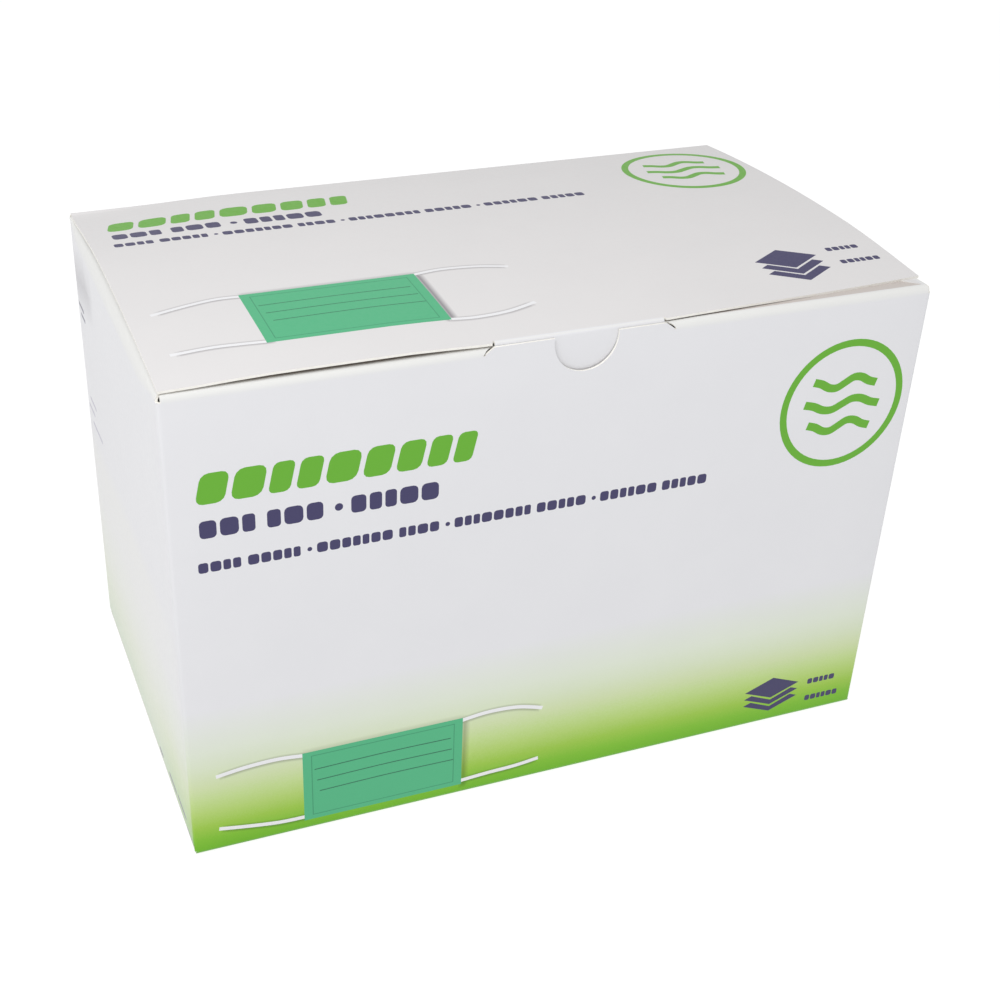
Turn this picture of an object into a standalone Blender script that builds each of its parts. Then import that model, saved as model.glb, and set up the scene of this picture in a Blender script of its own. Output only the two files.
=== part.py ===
"""A folding carton with a hinged lid, for face masks.

One die-cut board makes the real carton. Here each panel and flap is its own piece: a flat
outline is cut, bent along its creases and given the thickness of the board. The front faces
-Y, the base stands on Z = 0 and the origin is under the middle of the box.
"""

import math

import bmesh
import bpy
from mathutils import Vector

# Driving sizes, in metres
WIDTH = 0.190
DEPTH = 0.113
HEIGHT = 0.1268  # from the base to the top of the flaps that lie under the lid
BOARD = 0.0006
GAP = 0.0003  # clearance between two pieces that touch
CORNER_RADIUS = 0.0010  # upright creases, outside
BASE_RADIUS = 0.0010  # creases round the base, outside
BASE_EDGE_INSET = 0.0004  # raw edges of the outer base flap, inside the walls' faces

# Front crease, with the raised lip of the panel behind which the tongue goes
FRONT_FOLD_RADIUS = 0.0013
LIP_X = 0.0013
LIP_TOP_WIDTH = 0.0426
LIP_FOOT_WIDTH = 0.0466
LIP_RISE = 0.0014  # above the start of the fold
NOTCH_X = 0.0023
NOTCH_RADIUS = 0.0080
NOTCH_DEPTH = 0.0092  # below the top of the lip

# Front flap
FRONT_FLAP_DEPTH = 0.020
SLIT_DEPTH = 0.0032  # from the front face to the far side of the tongue's slit
SLIT_CLEARANCE = 0.0006  # at each end, past the lip's foot
CORNER_SLOT = 0.0018  # upright corner left free between two creases

# Dust flaps. Their fold starts lower in the middle of the side than at its corners.
DUST_FLAP_REACH = 0.060
DUST_FOLD_DROP = 0.0055
DUST_FOLD_REACH = 0.0020
DUST_CORNER_DROP = 0.0015
DUST_CORNER_REACH = 0.0013
DUST_EASE_FRONT = 0.025
DUST_EASE_BACK = 0.010
DUST_TAPER = 0.55  # how far the back edge falls forward for each metre inward
DUST_BACK_CLEARANCE = 0.0040
DUST_CORNER_ROUND = 0.006
MITRE_GAP = 0.0010  # between the slanted ends of the front flap and of the dust flaps

# Lid, which bows up between its two ends
LID_BOW = 0.0024
LID_FALL = 0.0006  # its back crease is this much lower than its front edge
LID_FOLD_RADIUS = 0.0015
LID_SIDE_INSET = 0.0005
LID_EDGE_LEFT = 0.0004  # raw front edge, behind the box's front face
LID_EDGE_RIGHT_INNER = 0.0010
LID_EDGE_RIGHT_OUTER = 0.0045
LID_CUT_WIDTH = 0.0030  # cut beside the tongue, clear of the lip's foot

# Tongue
TONGUE_LENGTH = 0.019
TONGUE_FOLD_RADIUS = 0.0010
TONGUE_LEAN = math.radians(10.0)
TONGUE_END_ROUND = 0.006
TONGUE_SIDE_TAPER = 0.0015

# Base flaps and the glued seam
END_FLAP_REACH = 0.060
INNER_FLAP_SHORT = 0.003  # free edge of the inner base flap, from the front face
SEAM_WIDTH = 0.015
SEAM_END_INSET = 0.004
SEAM_END_TAPER = 0.004

# How finely bends are divided
BEND_STEP = math.radians(18.0)
BOW_STEPS = 12
EASE_STEPS = 5
ROUND_STEPS = 6

HALF_WIDTH = WIDTH / 2
HALF_DEPTH = DEPTH / 2
FRONT_WALL_TOP = HEIGHT - FRONT_FOLD_RADIUS - GAP
LIP_TOP = HEIGHT - FRONT_FOLD_RADIUS + LIP_RISE
LID_TOP_FRONT = HEIGHT + GAP + BOARD
LID_TOP_BACK = LID_TOP_FRONT - LID_FALL
BACK_WALL_TOP = LID_TOP_BACK - LID_FOLD_RADIUS - GAP
OUTER_BASE_LEVEL = 0.0
INNER_BASE_LEVEL = OUTER_BASE_LEVEL + BOARD + GAP
END_BASE_LEVEL = INNER_BASE_LEVEL + BOARD + GAP
TONGUE_FACE = -HALF_DEPTH + BOARD + GAP
TONGUE_ROOT = TONGUE_FACE + TONGUE_FOLD_RADIUS

# A fold that opens flat about this point, as a share of its radius inside both faces, keeps its length
CREASE_SHARE = 1 - math.pi / 4


def clear_scene():
    for obj in list(bpy.data.objects):
        bpy.data.objects.remove(obj, do_unlink=True)


def new_collection(name):
    collection = bpy.data.collections.new(name)
    bpy.context.scene.collection.children.link(collection)
    return collection


def board_material(name, colour, roughness):
    material = bpy.data.materials.new(name)
    material.use_nodes = True
    shader = material.node_tree.nodes["Principled BSDF"]
    shader.inputs["Base Color"].default_value = (*colour, 1.0)
    shader.inputs["Roughness"].default_value = roughness
    shader.inputs["Metallic"].default_value = 0.0
    return material


def bent(distance, straight, radius, turn):
    """Where a strip has got to: it runs straight, turns round an arc, and runs straight again.

    Gives how far it is along its first direction and how far along the direction it turns to.
    """
    if distance <= straight:
        return distance, 0.0
    angle = min((distance - straight) / radius, turn)
    rest = max(distance - straight - radius * turn, 0.0)
    ahead = straight + radius * math.sin(angle) + rest * math.cos(turn)
    aside = radius * (1 - math.cos(angle)) + rest * math.sin(turn)
    return ahead, aside


def bend_lines(straight, radius, turn):
    """Distances at which a strip is divided so that its arc comes out round."""
    steps = max(2, math.ceil(turn / BEND_STEP))
    return [straight + radius * turn * i / steps for i in range(steps + 1)]


def spread(start, end, steps):
    return [start + (end - start) * i / steps for i in range(steps + 1)]


def arc_points(centre, radius, start, end, steps=ROUND_STEPS):
    """Points on an arc in the flat outline, from one angle to another, in degrees."""
    angles = [math.radians(a) for a in spread(start, end, steps)]
    return [(centre[0] + radius * math.cos(a), centre[1] + radius * math.sin(a)) for a in angles]


def sheet(name, outline, place, columns=(), rows=()):
    """A piece of board: a flat outline, divided along columns and rows, bent by place and thickened.

    place takes a point of the flat outline to a point of the outer face.
    """
    flat = bmesh.new()
    flat.faces.new([flat.verts.new((u, v, 0.0)) for u, v in outline])
    bmesh.ops.triangulate(flat, faces=flat.faces[:])
    for normal, cuts in ((Vector((1, 0, 0)), columns), (Vector((0, 1, 0)), rows)):
        for cut in cuts:
            everything = flat.verts[:] + flat.edges[:] + flat.faces[:]
            bmesh.ops.bisect_plane(flat, geom=everything, plane_co=normal * cut, plane_no=normal)
    for vertex in flat.verts:
        vertex.co = place(vertex.co.x, vertex.co.y)
    bmesh.ops.triangulate(flat, faces=flat.faces[:])
    bmesh.ops.remove_doubles(flat, verts=flat.verts[:], dist=1e-6)
    mesh = bpy.data.meshes.new(name)
    flat.to_mesh(mesh)
    flat.free()
    mesh.shade_smooth()
    mesh.set_sharp_from_angle(angle=math.radians(35.0))
    piece = bpy.data.objects.new(name, mesh)
    thickness = piece.modifiers.new("board", "SOLIDIFY")
    thickness.thickness = BOARD
    thickness.offset = -1.0
    thickness.use_even_offset = True
    return piece


def finish(piece, collection, material, parent=None):
    """Puts the piece in its collection, gives it its board, and hangs it on its crease."""
    collection.objects.link(piece)
    piece.data.materials.append(material)
    if parent is not None:
        piece.parent = parent
        piece.matrix_parent_inverse = parent.matrix_world.inverted()
    return piece


def crease(name, collection, place, parent=None):
    """An empty on the line about which a piece folds."""
    empty = bpy.data.objects.new(name, None)
    empty.empty_display_size = 0.01
    collection.objects.link(empty)
    empty.location = place
    bpy.context.view_layer.update()
    if parent is not None:
        empty.parent = parent
        empty.matrix_parent_inverse = parent.matrix_world.inverted()
        bpy.context.view_layer.update()
    return empty


# Walls

WRAP = CORNER_RADIUS * math.pi / 2
STRAIGHT_HALF = HALF_WIDTH - CORNER_RADIUS


def wrapped(side, x, z):
    """A point of the front (side -1) or back (side 1) wall, whose ends turn round the upright creases."""
    ahead, aside = bent(abs(x), STRAIGHT_HALF, CORNER_RADIUS, math.pi / 2)
    return Vector((math.copysign(ahead, x) * -side, side * (HALF_DEPTH - aside), z))


def wall_columns():
    lines = bend_lines(STRAIGHT_HALF, CORNER_RADIUS, math.pi / 2)
    return [-line for line in lines[::-1]] + lines


def front_panel():
    """The front wall, with the lip that rises in front of the tongue and the thumb notch in it."""
    end = STRAIGHT_HALF + WRAP
    foot = BASE_RADIUS + GAP
    notch_centre = (NOTCH_X, LIP_TOP - NOTCH_DEPTH + NOTCH_RADIUS)
    mouth = math.degrees(math.asin((LIP_TOP - notch_centre[1]) / NOTCH_RADIUS))
    outline = [(-end, foot), (end, foot), (end, FRONT_WALL_TOP)]
    outline.append((LIP_X + LIP_FOOT_WIDTH / 2, FRONT_WALL_TOP))
    outline.append((LIP_X + LIP_TOP_WIDTH / 2, LIP_TOP))
    outline += arc_points(notch_centre, NOTCH_RADIUS, mouth, -180 - mouth, 3 * ROUND_STEPS)
    outline.append((LIP_X - LIP_TOP_WIDTH / 2, LIP_TOP))
    outline.append((LIP_X - LIP_FOOT_WIDTH / 2, FRONT_WALL_TOP))
    outline.append((-end, FRONT_WALL_TOP))
    return sheet("front_panel", outline, lambda x, z: wrapped(-1, x, z), wall_columns())


def back_panel():
    end = STRAIGHT_HALF + WRAP
    foot = INNER_BASE_LEVEL + BASE_RADIUS + GAP
    outline = [(-end, foot), (end, foot), (end, BACK_WALL_TOP), (-end, BACK_WALL_TOP)]
    return sheet("back_panel", outline, lambda x, z: wrapped(1, x, z), wall_columns())


def ease(y):
    """0 where a side's fold starts at a corner, 1 along its middle."""
    front = min((y + HALF_DEPTH - CORNER_SLOT) / DUST_EASE_FRONT, 1.0)
    back = min((HALF_DEPTH - CORNER_SLOT - y) / DUST_EASE_BACK, 1.0)
    share = max(min(front, back), 0.0)
    return share * share * (3 - 2 * share)


def fold_drop(y):
    return DUST_CORNER_DROP + (DUST_FOLD_DROP - DUST_CORNER_DROP) * ease(y)


def fold_reach(y):
    return DUST_CORNER_REACH + (DUST_FOLD_REACH - DUST_CORNER_REACH) * ease(y)


def ease_stations(front, back):
    """Places along a side, closer together where its fold changes."""
    eased_in = spread(front, -HALF_DEPTH + CORNER_SLOT + DUST_EASE_FRONT, EASE_STEPS)
    eased_out = spread(HALF_DEPTH - CORNER_SLOT - DUST_EASE_BACK, back, EASE_STEPS)
    return eased_in + eased_out


def side_panel(name, side):
    """A side wall. Its top follows the start of the dust flap's fold."""
    end = HALF_DEPTH - CORNER_RADIUS - GAP
    foot = END_BASE_LEVEL + BASE_RADIUS + GAP
    top = [(y, HEIGHT - fold_drop(y) - GAP) for y in ease_stations(-end, end)]
    outline = [(-end, foot), (end, foot)] + top[::-1]
    if side < 0:
        outline = [(-y, z) for y, z in outline[::-1]]
    return sheet(name, outline, lambda u, z: Vector((side * HALF_WIDTH, side * u, z)))


def glue_seam():
    """The strip inside the back wall that closes the four walls into a sleeve."""
    start = -HALF_WIDTH + BOARD + GAP
    low = END_BASE_LEVEL + BOARD + SEAM_END_INSET
    high = BACK_WALL_TOP - SEAM_END_INSET
    outline = [
        (-start - SEAM_WIDTH, low + SEAM_END_TAPER),
        (-start, low),
        (-start, high),
        (-start - SEAM_WIDTH, high - SEAM_END_TAPER),
    ]
    return sheet("glue_seam_flap", outline, lambda u, z: Vector((-u, HALF_DEPTH - BOARD - GAP, z)))


# Base


def base_bend(level, distance):
    """How far a base flap is above its level and how far in from its wall."""
    down, inward = bent(distance, 0.0, BASE_RADIUS, math.pi / 2)
    return level + BASE_RADIUS - down, inward


def base_length(reach):
    """Board that a base flap takes, fold and all, to reach this far in from its wall."""
    return reach - BASE_RADIUS + BASE_RADIUS * math.pi / 2


def base_rows():
    return bend_lines(0.0, BASE_RADIUS, math.pi / 2)


def long_base_flap(name, side, level, reach, half_width):
    """The base flap of the front (side -1) or back (side 1) wall."""
    length = base_length(reach)
    outline = [(-half_width, 0.0), (half_width, 0.0), (half_width, length), (-half_width, length)]

    def place(u, v):
        height, inward = base_bend(level, v)
        return Vector((side * u, side * (HALF_DEPTH - inward), height))

    return sheet(name, outline, place, rows=base_rows())


def end_base_flap(name, side):
    """The short base flap of a side wall, inside the two long ones."""
    length = base_length(END_FLAP_REACH)
    half_depth = HALF_DEPTH - CORNER_RADIUS - GAP
    outline = [(-half_depth, 0.0), (half_depth, 0.0), (half_depth, length), (-half_depth, length)]

    def place(u, v):
        height, inward = base_bend(END_BASE_LEVEL, v)
        return Vector((side * (HALF_WIDTH - inward), -side * u, height))

    return sheet(name, outline, place, rows=base_rows())


# Flaps under the lid

FRONT_FOLD_LENGTH = FRONT_FOLD_RADIUS * math.pi / 2


def front_flap_distance(behind):
    """Board from the fold's start to this far behind the front face."""
    return FRONT_FOLD_LENGTH + behind - FRONT_FOLD_RADIUS


def front_flap():
    """The front flap, with slanted ends and the slit that takes the tongue."""
    root = HALF_WIDTH - CORNER_SLOT
    mitre = MITRE_GAP / 2
    depth = FRONT_FLAP_DEPTH
    slit_half = LIP_FOOT_WIDTH / 2 + SLIT_CLEARANCE
    slit = front_flap_distance(SLIT_DEPTH)
    shoulder = front_flap_distance(CORNER_SLOT)
    tip = front_flap_distance(depth)
    right = [(root, 0.0), (root - mitre, shoulder), (HALF_WIDTH - depth - mitre, tip)]
    left = [(-x, v) for x, v in right[::-1]]
    outline = [(LIP_X + slit_half, 0.0)] + right + left
    outline += [(LIP_X - slit_half, 0.0), (LIP_X - slit_half, slit), (LIP_X + slit_half, slit)]

    def place(x, v):
        up, inward = bent(v, 0.0, FRONT_FOLD_RADIUS, math.pi / 2)
        return Vector((x, -HALF_DEPTH + inward, HEIGHT - FRONT_FOLD_RADIUS + up))

    return sheet("front_flap", outline, place, rows=bend_lines(0.0, FRONT_FOLD_RADIUS, math.pi / 2))


def dust_flap(name, side):
    """A dust flap: its fold, and a flat blade whose back edge slants clear of the opening lid."""
    blade_start = 2 * DUST_FOLD_REACH
    front = -HALF_DEPTH
    mitre = MITRE_GAP / 2
    back = HALF_DEPTH - DUST_BACK_CLEARANCE
    root_front = front + CORNER_SLOT
    blade_front = front + FRONT_FLAP_DEPTH + MITRE_GAP
    slanted_back = back - DUST_TAPER * DUST_FLAP_REACH
    reach = DUST_FLAP_REACH
    corner = DUST_CORNER_ROUND
    outline = [(root_front, 0.0), (back, 0.0), (back, blade_start)]
    outline.append((slanted_back + DUST_TAPER * corner, reach - corner))
    outline += arc_points((slanted_back - corner, reach - corner), corner, 30, 90)
    outline += arc_points((blade_front + corner, reach - corner), corner, 90, 180)
    outline.append((blade_front, FRONT_FLAP_DEPTH + mitre))
    outline.append((root_front + mitre, CORNER_SLOT))
    if side < 0:
        outline = [(-y, v) for y, v in outline[::-1]]

    def place(u, v):
        y = side * u
        share = min(v / DUST_FOLD_REACH, 1.0)
        angle = share * math.pi / 2
        inward = fold_reach(y) * (1 - math.cos(angle))
        if v > DUST_FOLD_REACH:
            past = min((v - DUST_FOLD_REACH) / DUST_FOLD_REACH, 1.0)
            inward = fold_reach(y) + (blade_start - fold_reach(y)) * past + max(v - blade_start, 0.0)
        height = HEIGHT - fold_drop(y) * (1 - math.sin(angle))
        return Vector((side * (HALF_WIDTH - inward), y, height))

    columns = [side * y for y in ease_stations(root_front, back)]
    rows = spread(0.0, DUST_FOLD_REACH, 5) + [blade_start]
    return sheet(name, outline, place, columns, rows)


# Lid


def lid_top(y):
    """Height of the lid's upper face, which bows up from both its ends."""
    share = min(max((y + HALF_DEPTH) / DEPTH, 0.0), 1.0)
    return LID_TOP_FRONT - LID_FALL * share + LID_BOW * 4 * share * (1 - share)


def lid_panel():
    """The lid, from the raw edges and the tongue's root at the front to its crease at the back."""
    half = HALF_WIDTH - LID_SIDE_INSET
    straight = HALF_DEPTH - LID_FOLD_RADIUS
    end = straight + LID_FOLD_RADIUS * math.pi / 2
    root_left = LIP_X - LIP_TOP_WIDTH / 2
    root_right = LIP_X + LIP_TOP_WIDTH / 2
    cut_left = root_left - LID_CUT_WIDTH
    cut_right = root_right + LID_CUT_WIDTH
    outline = [
        (-half, -HALF_DEPTH + LID_EDGE_LEFT),
        (cut_left, -HALF_DEPTH + LID_EDGE_LEFT),
        (cut_left, TONGUE_ROOT),
        (cut_right, TONGUE_ROOT),
        (cut_right, -HALF_DEPTH + LID_EDGE_RIGHT_INNER),
        (half, -HALF_DEPTH + LID_EDGE_RIGHT_OUTER),
        (half, end),
        (-half, end),
    ]

    def place(x, v):
        along, down = bent(v + HALF_DEPTH, straight + HALF_DEPTH, LID_FOLD_RADIUS, math.pi / 2)
        return Vector((x, along - HALF_DEPTH, lid_top(min(v, straight)) - down))

    rows = spread(-HALF_DEPTH, straight, BOW_STEPS)[1:-1]
    rows += bend_lines(straight, LID_FOLD_RADIUS, math.pi / 2)
    return sheet("lid_panel", outline, place, rows=rows)


def tongue():
    """The tongue at the lid's front, which goes down through the slit and leans in behind the lip."""
    turn = math.pi / 2 + TONGUE_LEAN
    half = LIP_TOP_WIDTH / 2
    tip_half = half - TONGUE_SIDE_TAPER
    corner = TONGUE_END_ROUND
    low = -TONGUE_LENGTH
    outline = arc_points((LIP_X - tip_half + corner, low + corner), corner, 180, 270)
    outline += arc_points((LIP_X + tip_half - corner, low + corner), corner, 270, 360)
    outline += [(LIP_X + half, -TONGUE_FOLD_RADIUS * turn), (LIP_X + half, -GAP)]
    outline += [(LIP_X - half, -GAP), (LIP_X - half, -TONGUE_FOLD_RADIUS * turn)]

    def place(x, v):
        ahead, down = bent(-v, 0.0, TONGUE_FOLD_RADIUS, turn)
        return Vector((x, TONGUE_ROOT - ahead, lid_top(TONGUE_ROOT) - down))

    rows = [-line for line in bend_lines(0.0, TONGUE_FOLD_RADIUS, turn)]
    return sheet("tongue", outline, place, rows=rows)


# Creases that move


def front_crease_place():
    inset = CREASE_SHARE * FRONT_FOLD_RADIUS
    return Vector((0.0, -HALF_DEPTH + inset, HEIGHT - inset))


def lid_crease_place():
    inset = CREASE_SHARE * LID_FOLD_RADIUS
    return Vector((0.0, HALF_DEPTH - inset, LID_TOP_BACK - inset))


def tongue_crease_place():
    inset = CREASE_SHARE * TONGUE_FOLD_RADIUS
    return Vector((LIP_X, TONGUE_FACE + inset, LID_TOP_FRONT - inset))


def dust_crease_place(side):
    """The oval fold is wider than it is high where it opens, so its point is worked out from both."""
    wide, high = DUST_FOLD_REACH, DUST_FOLD_DROP
    mean = 3 * (wide + high) - math.sqrt((3 * wide + high) * (wide + 3 * high))
    opened = math.pi * mean / 4 - high
    inset = (wide - opened) / 2
    return Vector((side * (HALF_WIDTH - inset), 0.0, HEIGHT - inset))


def build():
    clear_scene()
    carton = new_collection("folding_carton")
    printed = board_material("printed_board", (0.80, 0.80, 0.80), 0.35)
    green_base = board_material("printed_board_green_base", (0.72, 0.80, 0.62), 0.35)
    plain = board_material("plain_board", (0.74, 0.73, 0.70), 0.75)

    finish(front_panel(), carton, green_base)
    finish(back_panel(), carton, green_base)
    finish(side_panel("left_panel", -1), carton, green_base)
    finish(side_panel("right_panel", 1), carton, green_base)
    finish(glue_seam(), carton, plain)

    inner_reach = DEPTH - INNER_FLAP_SHORT
    outer_reach = DEPTH - BASE_EDGE_INSET
    outer_half = HALF_WIDTH - BASE_EDGE_INSET
    inner_half = HALF_WIDTH - BOARD
    finish(long_base_flap("outer_base_flap", -1, OUTER_BASE_LEVEL, outer_reach, outer_half), carton, printed)
    finish(long_base_flap("inner_base_flap", 1, INNER_BASE_LEVEL, inner_reach, inner_half), carton, plain)
    finish(end_base_flap("left_base_flap", -1), carton, plain)
    finish(end_base_flap("right_base_flap", 1), carton, plain)

    front_crease = crease("front_flap_crease", carton, front_crease_place())
    finish(front_flap(), carton, printed, front_crease)
    for name, side in (("left", -1), ("right", 1)):
        side_crease = crease(f"{name}_dust_crease", carton, dust_crease_place(side))
        finish(dust_flap(f"{name}_dust_flap", side), carton, printed, side_crease)

    lid_crease = crease("lid_crease", carton, lid_crease_place())
    finish(lid_panel(), carton, printed, lid_crease)
    tongue_crease = crease("tongue_crease", carton, tongue_crease_place(), lid_crease)
    finish(tongue(), carton, printed, tongue_crease)


build()
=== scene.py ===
"""The looks of a closed folding carton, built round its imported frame.

Every board is a die-cut sheet: a flat outline with its inks cut into it, bent along its creases
and thickened. Lengths are in metres. The prints are laid out in millimetres on the flat board.
"""

import math
from collections import namedtuple

import bpy
import numpy as np
from mathutils import Euler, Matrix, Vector, geometry


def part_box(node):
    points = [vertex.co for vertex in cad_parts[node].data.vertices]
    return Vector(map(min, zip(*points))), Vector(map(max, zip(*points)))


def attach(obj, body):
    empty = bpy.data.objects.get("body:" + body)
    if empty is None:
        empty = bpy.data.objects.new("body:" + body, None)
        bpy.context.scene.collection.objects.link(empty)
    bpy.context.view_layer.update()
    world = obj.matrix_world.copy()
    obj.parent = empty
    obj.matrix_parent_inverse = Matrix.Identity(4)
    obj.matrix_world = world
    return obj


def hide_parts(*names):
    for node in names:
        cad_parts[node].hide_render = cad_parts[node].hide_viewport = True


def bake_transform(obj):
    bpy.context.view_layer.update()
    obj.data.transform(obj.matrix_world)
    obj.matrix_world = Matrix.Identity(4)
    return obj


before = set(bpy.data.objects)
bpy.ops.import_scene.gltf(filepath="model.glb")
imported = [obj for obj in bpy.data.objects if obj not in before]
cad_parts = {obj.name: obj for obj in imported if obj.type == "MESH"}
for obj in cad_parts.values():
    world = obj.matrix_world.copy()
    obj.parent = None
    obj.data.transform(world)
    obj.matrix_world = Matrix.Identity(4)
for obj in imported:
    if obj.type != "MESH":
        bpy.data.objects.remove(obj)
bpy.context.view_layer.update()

MM = 0.001

# Sizes taken from the frame
HALF_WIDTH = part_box("front_panel")[1].x
HALF_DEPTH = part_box("back_panel")[1].y
LIP_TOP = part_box("front_panel")[1].z
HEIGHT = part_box("front_flap")[1].z
BACK_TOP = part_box("back_panel")[1].z
FLAP_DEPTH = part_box("front_flap")[1].y + HALF_DEPTH
DUST_REACH = HALF_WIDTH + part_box("left_dust_flap")[1].x
LID_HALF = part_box("lid_panel")[1].x
TONGUE_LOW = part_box("tongue")[0].z
END_FLAP_REACH = HALF_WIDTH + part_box("left_base_flap")[1].x
INNER_FLAP_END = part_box("inner_base_flap")[0].y
SEAM_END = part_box("glue_seam_flap")[1].x
SEAM_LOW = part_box("glue_seam_flap")[0].z
SEAM_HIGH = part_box("glue_seam_flap")[1].z

# Board and creases
BOARD = 0.0006
GAP = 0.0003
CORNER_RADIUS = 0.0010
BASE_RADIUS = 0.0010
QUARTER = math.pi / 2
PANEL_DENT = 0.0005  # how far the middle of a wall sinks in
SEAM_STEP = BOARD + GAP + CORNER_RADIUS
SEAM_END_TAPER = 0.004

# Front fold, lip and notch
FRONT_DROP = 0.0017
FRONT_REACH = 0.0013
LIP_X = 0.0013
LIP_TOP_WIDTH = 0.0424
LIP_FOOT_WIDTH = 0.0466
LIP_RELIEF = 0.0003  # the lip's ends rise straight this far before they slant in
NOTCH_X = 0.0026
NOTCH_RADIUS = 0.0080
NOTCH_DEPTH = 0.0090
CORNER_SLOT = 0.00095  # half the slot left between two folds at an upright corner
MITRE_GAP = 0.0006
SLIT_DEPTH = 0.0032
SLIT_TUCK = 0.0002  # how far the slit's ends reach in behind the lip
FOOT_NICK = 0.0006  # a small nick in the fold at each foot of the lip
FOOT_NICK_LENGTH = 0.0007
FLAP_SHOULDER = 0.62  # share of the front fold's height before the flap's ends slant in
FLAP_SAG = 0.0009  # the most that the front flap hangs down behind its fold
FLAP_SAG_SLOPE = 0.08
FLAP_SAG_RIGHT = 0.6  # how much less it hangs towards the right corner
FLAP_SAG_RAMP = 0.03
FRONT_FLAP_ROWS = (0.004, 0.006, 0.009, 0.012, 0.016)  # where it is cut so that it can sag

# Side folds
DUST_DROP = 0.0055
DUST_FOLD_REACH = 0.0020
DUST_CORNER_DROP = 0.0018
DUST_CORNER_REACH = 0.0013
DUST_EASE_FRONT = 0.022
DUST_EASE_BACK = 0.010
DUST_TAPER = 0.55
DUST_BACK_CLEARANCE = 0.0040
DUST_ROOT_CLEARANCE = 0.0010
DUST_ROUND = 0.006
DUST_SLOT_SHARE = 0.3  # share of the mitre left at the fold's front end
DUST_ROWS = (0.012, 0.022, 0.032, 0.042)
DUST_STATIONS = (-0.03, 0.04, 7)  # first, last and number of steps along the flap's middle
SIDE_LEAN = 0.0010  # the left wall leans in this far at its top back corner

# Painted highlight along the folds (partly the creases' whitened coat) and painted sheen on the end
# walls
FOLD_EDGE = 0.0003  # how far the print runs on over a fold into the flap
HIGHLIGHT_FADE = 0.0006  # half the length over which the painted highlight fades in towards a fold
END_WALL_SHEEN_STRENGTH = 0.74  # how much the painted sheen pales the base green on the end walls, away from the front
END_WALL_FADE = 0.05  # and how far from the front corner it gets there
GREEN_TOP = 0.06  # above the last of the base green
LIP_HIGHLIGHT_RAMP = 0.001  # how far from the lip's feet the painted highlight on the front fold grows to full
COLUMN_STEP = 0.008  # the walls are cut into columns about this wide
WALL_ROWS = (0.004, 0.120, 15)  # lowest, highest and number of steps
LEFT_TOP_START = 0.001  # the left wall's top curve starts this far from the seam

# Lid and tongue
LID_BOW = 0.0024
LID_FALL = 0.0006
LID_FRONT_TOP = HEIGHT + GAP + BOARD
LID_FOLD_RADIUS = 0.0015
LID_EDGE_LEFT = 0.0004
LID_EDGE_RIGHT_INNER = 0.0008
LID_EDGE_RIGHT_OUTER = 0.0053
LID_CUT_WIDTH = 0.0004
LEFT_CORNER_SINK = 0.00022  # the lid alone lies closer at its left front corner
LEFT_LIFT = 0.0006  # the front edge stands off the fold between the left corner and the lip
RIGHT_LIFT = -0.0008  # and sinks towards the right corner
LIFT_LENGTH = 0.040  # both die away this far behind the front
LIP_RAMP = 0.020  # the lift grows over this length away from the lip
LEFT_RAMP = 0.030  # and away from the left corner
RIGHT_RAMP = 0.060
SINK_RAMP = 0.022
BACK_CORNER_DIP = 0.0016
BACK_CORNER_DIP_LENGTH = 0.045
TONGUE_FOLD_RADIUS = 0.0008
TONGUE_LEAN = math.radians(2.0)
TONGUE_TURN = QUARTER + TONGUE_LEAN
TONGUE_GAP = 0.00006
TONGUE_FACE = -HALF_DEPTH + BOARD + TONGUE_GAP
TONGUE_ROOT = TONGUE_FACE + TONGUE_FOLD_RADIUS
TONGUE_ROUND = 0.006
TONGUE_TAPER = 0.0015
TONGUE_SHORT = 0.0008  # its end stays this far above the frame's
TONGUE_HIGHLIGHT = 0.85  # strength of the painted highlight over its fold
TONGUE_HIGHLIGHT_MIDDLE = 0.42  # where the painted highlight is strongest, and how far that reaches, as shares of the fold
TONGUE_HIGHLIGHT_REACH = 0.30

# Base levels, outer faces
OUTER_LEVEL = 0.0
INNER_LEVEL = OUTER_LEVEL + BOARD + GAP
END_LEVEL = INNER_LEVEL + BOARD + GAP
BASE_EDGE_INSET = 0.0004
BASE_BLEED = 0.006  # how far the green runs on under the base

# Camera, worked out from the carton's corners in the photograph
CAMERA_PLACE = (-0.1443, -0.3437, 0.2714)
CAMERA_ELEVATION = math.radians(32.52)
CAMERA_AZIMUTH = math.radians(21.77)
CAMERA_ROLL = math.radians(1.59)
FOCAL_PIXELS = 1557.0
FRAME_PIXELS = 1000.0
CENTRE_PIXEL = (448.0, 557.6)
SENSOR = 36.0

# Light and floor
SKY_STRENGTH = 0.67
KEY_PLACE = (-0.24, -0.26, 0.58)
KEY_AIM = (0.0, 0.0, 0.06)
KEY_SIZE = 0.30
KEY_POWER = 1.85
FLOOR_SIZE = 120.0
FLOOR_LEVEL = -0.0002
FLOOR_GREY = 0.18
FLOOR_GLOW = 0.90


# Materials


def new_material(name):
    material = bpy.data.materials.new(name)
    material.use_nodes = True
    return material, material.node_tree, material.node_tree.nodes["Principled BSDF"]


def add_node(tree, kind, **values):
    node = tree.nodes.new(kind)
    for key, value in values.items():
        setattr(node, key, value)
    return node


def noise_at(tree, place, scale, detail, roughness=0.5):
    texture = add_node(tree, "ShaderNodeTexNoise")
    texture.inputs["Scale"].default_value = scale
    texture.inputs["Detail"].default_value = detail
    texture.inputs["Roughness"].default_value = roughness
    tree.links.new(place, texture.inputs["Vector"])
    return texture.outputs["Fac"]


def ranged(tree, value, low, high, new_low, new_high):
    node = add_node(tree, "ShaderNodeMapRange")
    limits = {"From Min": low, "From Max": high, "To Min": new_low, "To Max": new_high}
    for slot, limit in limits.items():
        node.inputs[slot].default_value = limit
    tree.links.new(value, node.inputs["Value"])
    return node.outputs["Result"]


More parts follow.
